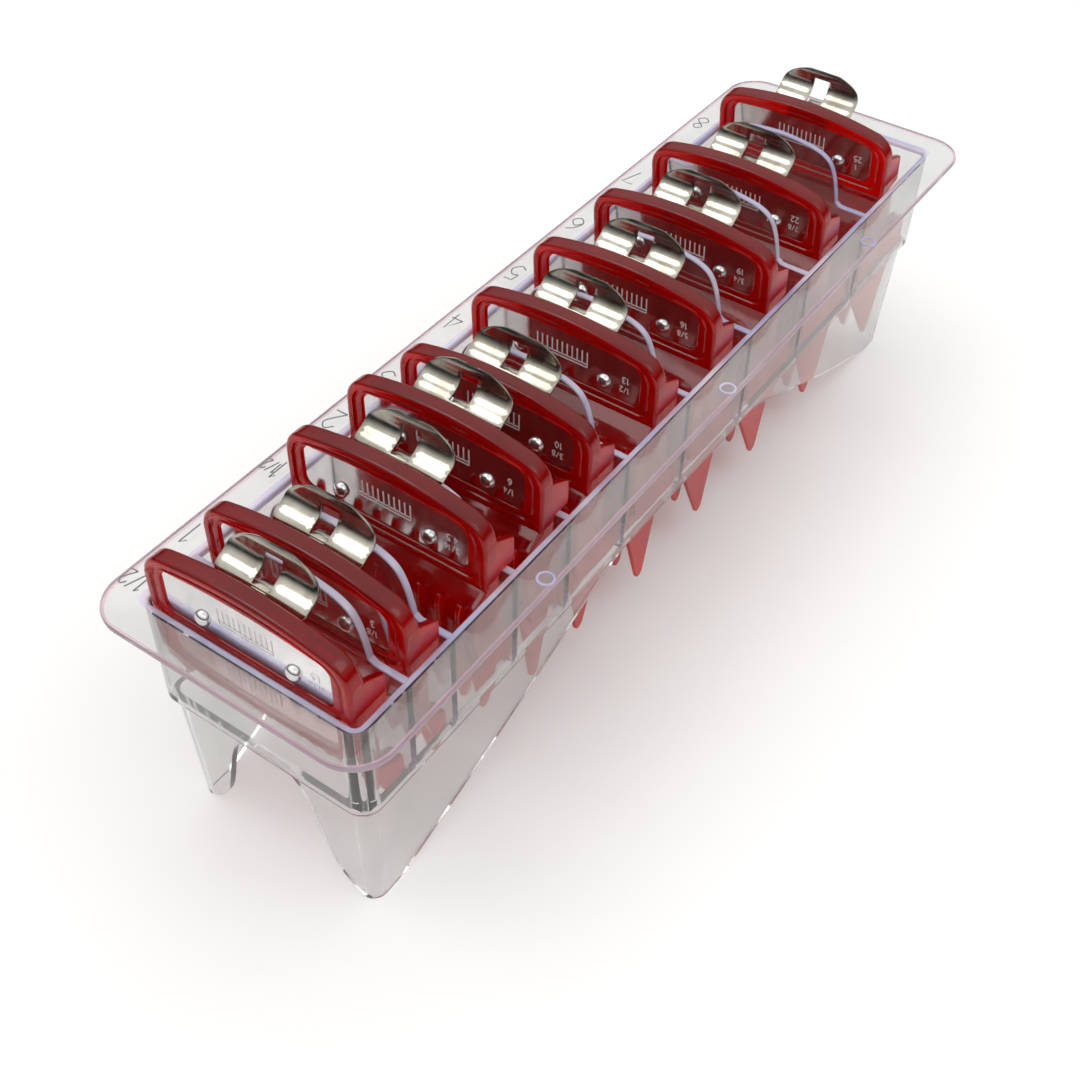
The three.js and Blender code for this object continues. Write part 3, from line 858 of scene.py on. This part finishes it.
def build_comb(name, count):
    """One red moulding; it is joined upright and then tipped into its place."""
    comb = measure_comb(name)
    piece = solid(add_face(), f"comb_body_{name}", (RED,))
    parts = [add_wall(), add_cheeks(comb), add_teeth(comb, count), add_bridges(comb)]
    if comb["bulge"]:
        parts.insert(1, add_web(comb))
    for part in parts:
        combine(piece, solid(part, "part", (RED,)), "UNION")
    shade(piece, 50)
    piece.data.transform(comb_place(name))
    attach(piece, f"guide_{name}")
    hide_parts(f"comb_{name}")


# ---- plate, marks and rivets ----
def build_plate(name):
    """A thin plate with softened edges."""
    bm = bmesh.new()
    back = PLATE_THICK / 2
    rings = ((-0.12, back), (0, back - 0.1), (0, PLATE_FACE + 0.1), (-0.12, PLATE_FACE))
    loft(bm, [[Vector((x, y, z)) for x, z in plate_ring(step)] for step, y in rings])
    plate = solid(bm, f"steel_plate_{name}", (PLATE_STEEL,))
    shade(plate, 50)
    plate.data.transform(comb_place(name))
    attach(plate, f"guide_{name}")
    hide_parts(f"label_plate_{name}")


def comb_sign():
    """Lines of a plain comb pictogram, right way up."""
    half, top, root, foot, teeth = 6.5, 1.9, 1.1, -2.2, 9
    back = [[(-half, top), (half, top)], [(-half, root), (half, root)]]
    ends = [[(-half, top), (-half, foot)], [(half, top), (half, foot)]]
    places = [half * (2 * i / (teeth + 1) - 1) for i in range(1, teeth + 1)]
    return back + ends + [[(x, root), (x, foot)] for x in places]


def build_marks(name, length, fraction):
    """Etched size numbers and a comb sign, upside down as on the real plates.

    Each group is its lines, the middle of its place on the plate and the width of its strokes.
    """
    bm = bmesh.new()
    groups = [(number_lines(length, 1.7), 16.4, 6.1, 0.2), (number_lines(fraction, 1.5), 16.2, 3.5, 0.18),
              (comb_sign(), 0, 7.0, 0.32)]
    for lines, centre_x, centre_z, width in groups:

        def put(a, b, depth):
            return Vector((centre_x - a, PLATE_FACE - depth, centre_z - b))

        for line in lines:
            ribbon(bm, line, width, put, -0.02, 0.03)
    marks = solid(bm, f"plate_marks_{name}", (ETCH,))
    marks.data.transform(comb_place(name))
    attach(marks, f"guide_{name}")


def build_rivet(name, hand, x):
    """A domed head on the plate, a shank and a flat tail behind the clip."""
    angles = [math.pi / 2 * i / 7 for i in range(8)]
    dome = [(RIVET_HEAD * math.cos(t), PLATE_FACE - RIVET_RIM - RIVET_DOME * math.sin(t)) for t in angles]
    profile = [(0.15, dome[-1][1])] + list(reversed(dome[:-1]))
    profile += [(RIVET_HEAD, PLATE_FACE), (RIVET_SHANK, PLATE_FACE)]
    tail = CLIP_Y + CLIP_THICK / 2
    profile += [(RIVET_SHANK, tail), (1.6, tail), (1.65, tail + 0.2), (1.4, tail + 0.5), (0.15, tail + 0.55)]
    bm = bmesh.new()
    loft(bm, [[Vector((a, y, b)) for a, b in arc(0, 0, r, 0, 345, 23)] for r, y in profile])
    rivet = solid(bm, f"rivet_{hand}_body_{name}", (RIVET_STEEL,))
    shade(rivet, 50)
    rivet.data.transform(comb_place(name) @ shift(x, 0, RIVET_Z))
    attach(rivet, f"guide_{name}")
    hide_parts(f"rivet_{hand}_{name}")


# ---- spring clip ----
# Centre line of the sheet from the side, from its foot behind the panel over the top to the wing's tip.
CLIP_PATH = ((CLIP_Y, 1), (CLIP_Y, 6), (CLIP_Y, 9), (CLIP_Y, 11.6), (4.1, 12.7), (4.75, 13.55), (5.8, 14.35),
             (7.1, 14.95), (8.2, 15.8), (8.95, 17), (9.4, 18.3), (9.75, 19.5), (10.1, 20.35))
TONGUE_PATH = ((4.5, 13.5), (5.6, 13.6), (6.8, 13.4), (7.6, 12.7), (8, 11.8), (8.1, 10.9))
TONGUE_X = (-1.7, -0.6, 0.6, 1.7)


def clip_half_width(z):
    """Half width of the clip's sheet at a height: base, narrow stem, then the D-shaped wing."""
    if z < WING_FOOT:
        if z < CLIP_BASE_TOP:
            return CLIP_BASE_HALF - max(0.0, 2 - z)
        return max(CLIP_STEM_HALF, CLIP_BASE_HALF - (z - CLIP_BASE_TOP) * 4)
    if z < WING_WIDEST:
        corner = min(1.0, (z - WING_FOOT) / WING_CORNER)
        return CLIP_WING_HALF - WING_CORNER * (1 - math.sqrt(1 - (1 - corner) ** 2))
    share = min(1.0, (z - WING_WIDEST) / (WING_TOP + 0.3 - WING_WIDEST))
    return CLIP_WING_HALF * (1 - share ** 2.4) ** 0.5


def clip_rows():
    """Points of the sheet's centre line, with two more where the stem widens at once into the wing."""
    line = smooth_line(CLIP_PATH, 8)
    rows = [p for p in line if p[1] < 1.01 or p[1] > 1.5]
    foot = next(i for i, p in enumerate(rows) if p[1] > WING_FOOT)
    edge = Vector(rows[foot - 1]).lerp(Vector(rows[foot]), 0.5)
    rows[foot:foot] = [(edge.x, WING_FOOT - 0.001), (edge.x + 0.001, WING_FOOT + 0.02)]
    return rows


def add_sheet(bm):
    """The bent strip as a grid, open at the slot."""
    rows = clip_rows()
    across_slot = [-1, -0.5, 0, 0.5, 1]
    beside_slot = [i / 7 for i in range(1, 8)]
    first, last = len(beside_slot), len(beside_slot) + len(across_slot) - 2
    grid = []
    for y, z in rows:
        half = clip_half_width(z)
        right = [CLIP_SLOT_HALF + (half - CLIP_SLOT_HALF) * share for share in beside_slot]
        xs = [-x for x in reversed(right)] + [CLIP_SLOT_HALF * share for share in across_slot] + right
        grid.append([bm.verts.new((x, y, z)) for x in xs])
    for i in range(len(rows) - 1):
        level = (rows[i][1] + rows[i + 1][1]) / 2
        for j in range(len(grid[0]) - 1):
            if CLIP_SLOT_FOOT < level < CLIP_SLOT_TOP and first <= j <= last:
                continue
            bm.faces.new((grid[i][j], grid[i][j + 1], grid[i + 1][j + 1], grid[i + 1][j]))


def add_tongue(bm):
    """The narrow strip bent out under the slot."""
    loops = [[bm.verts.new((x, y, z)) for x in TONGUE_X] for y, z in smooth_line(TONGUE_PATH, 4)]
    for low, high in zip(loops, loops[1:]):
        for j in range(len(TONGUE_X) - 1):
            bm.faces.new((low[j], low[j + 1], high[j + 1], high[j]))


def build_clip(name):
    """Bent sheet and tongue, thickened and with softened edges."""
    bm = bmesh.new()
    add_sheet(bm)
    add_tongue(bm)
    clip = solid(bm, f"spring_clip_body_{name}", (CLIP_STEEL,))
    for face in clip.data.polygons:
        face.use_smooth = True
    sheet = clip.modifiers.new("sheet", "SOLIDIFY")
    sheet.thickness = (CLIP_THICK - 0.08) * MM
    sheet.offset = 0
    sheet.use_quality_normals = True
    edges = clip.modifiers.new("edges", "BEVEL")
    edges.width = 0.12 * MM
    edges.segments = 2
    edges.limit_method = "ANGLE"
    edges.angle_limit = math.radians(60)
    weighted = clip.modifiers.new("flat_faces", "WEIGHTED_NORMAL")
    weighted.keep_sharp = True
    clip.data.transform(comb_place(name))
    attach(clip, f"clip_{name}")
    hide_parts(f"spring_clip_{name}")


# ---- room, lights and camera ----
def build_floor():
    """A pale sheet with painted shade that darkens it away from the tray, so that the steel has something
    dark to mirror.
    """
    bm = bmesh.new()
    bmesh.ops.create_grid(bm, x_segments=4, y_segments=4, size=3000)
    material, tree, shader = new_material("floor")
    place = tree.nodes.new("ShaderNodeTexCoord")
    distance = tree.nodes.new("ShaderNodeVectorMath")
    distance.operation = "LENGTH"
    tree.links.new(place.outputs["Object"], distance.inputs[0])
    # Painted shade: the floor colour runs from pale close to the tray to dark grey further out.
    near, far = (0.92, 0.92, 0.915), (0.34, 0.34, 0.34)
    near_radius, far_radius = 0.36, 0.85
    painted_falloff = blend_colours(tree, distance.outputs["Value"], near, far, near_radius, far_radius)
    tree.links.new(painted_falloff, shader.inputs["Base Color"])
    shader.inputs["Roughness"].default_value = 0.8
    floor = solid(bm, "floor", (material,))
    floor.location.z = -0.0002
    floor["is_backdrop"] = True


def build_world():
    """A studio that is dark at the horizon and pale overhead."""
    world = bpy.data.worlds.new("studio")
    bpy.context.scene.world = world
    world.use_nodes = True
    tree = world.node_tree
    place = tree.nodes.new("ShaderNodeTexCoord")
    split = tree.nodes.new("ShaderNodeSeparateXYZ")
    tree.links.new(place.outputs["Generated"], split.inputs["Vector"])
    horizon, overhead = (0.05, 0.05, 0.055), (1.18, 1.18, 1.17)
    colour = blend_colours(tree, split.outputs["Z"], horizon, overhead, 0.12, 0.66)
    tree.links.new(colour, tree.nodes["Background"].inputs["Color"])
    tree.nodes["Background"].inputs["Strength"].default_value = 1.0


def add_lamp(name, place, target, size, power):
    """A rectangular lamp that faces the target; power in watts, lengths in metres."""
    lamp = bpy.data.lights.new(name, "AREA")
    lamp.energy = power
    lamp.shape = "RECTANGLE"
    lamp.size = size[0]
    lamp.size_y = size[1]
    holder = bpy.data.objects.new(name, lamp)
    holder.location = place
    holder.rotation_mode = "QUATERNION"
    holder.rotation_quaternion = (Vector(target) - Vector(place)).to_track_quat("-Z", "Y")
    bpy.context.scene.collection.objects.link(holder)


def build_camera():
    """Looks down along the tray from its near right-hand corner, with a slight roll."""
    azimuth, elevation, roll = math.radians(33.69), math.radians(45.71), math.radians(1.684)
    distance = 0.27871
    target = Vector((25.28, -62.25, FLANGE_TOP)) * MM
    back = Vector((math.sin(azimuth) * math.cos(elevation), -math.cos(azimuth) * math.cos(elevation),
                   math.sin(elevation)))
    level = back.cross(Vector((0, 0, 1))).normalized() * -1
    rise = back.cross(level)
    right = level * math.cos(roll) + rise * math.sin(roll)
    camera = bpy.data.objects.new("camera", bpy.data.cameras.new("camera"))
    camera.data.lens = 47.58
    camera.data.sensor_width = 36
    camera.data.clip_start = 0.01
    rotation = Matrix((right, back.cross(right), back)).transposed().to_4x4()
    camera.matrix_world = Matrix.Translation(target + back * distance) @ rotation
    bpy.context.scene.collection.objects.link(camera)
    bpy.context.scene.camera = camera


def set_light_paths():
    """Enough bounces to see through every wall of the tray."""
    cycles = bpy.context.scene.cycles
    cycles.max_bounces = 28
    cycles.transmission_bounces = 28
    cycles.transparent_max_bounces = 32
    cycles.blur_glossy = 0.8
    bpy.context.scene.view_settings.view_transform = "Standard"


build_tray()
build_flange_numbers()
build_gate_rings()
for index, comb_name in enumerate(COMB_NAMES):
    build_comb(comb_name, TOOTH_COUNTS[index])
    build_plate(comb_name)
    build_marks(comb_name, PLATE_LENGTHS[index], PLATE_FRACTIONS[index])
    build_rivet(comb_name, "left", -RIVET_X)
    build_rivet(comb_name, "right", RIVET_X)
    build_clip(comb_name)
build_floor()
build_world()
add_lamp("key", (-0.44, -0.36, 0.95), (0, 0, 0.05), (0.5, 0.4), 1.6)
add_lamp("fill", (0.60, 0.05, 0.75), (0, 0, 0.05), (0.6, 0.5), 1.2)
build_camera()
set_light_paths()

sizes = {"cad": [list(corner) for corner in (CAD_LOW, CAD_HIGH)],
         "visual": [list(corner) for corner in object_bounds()]}
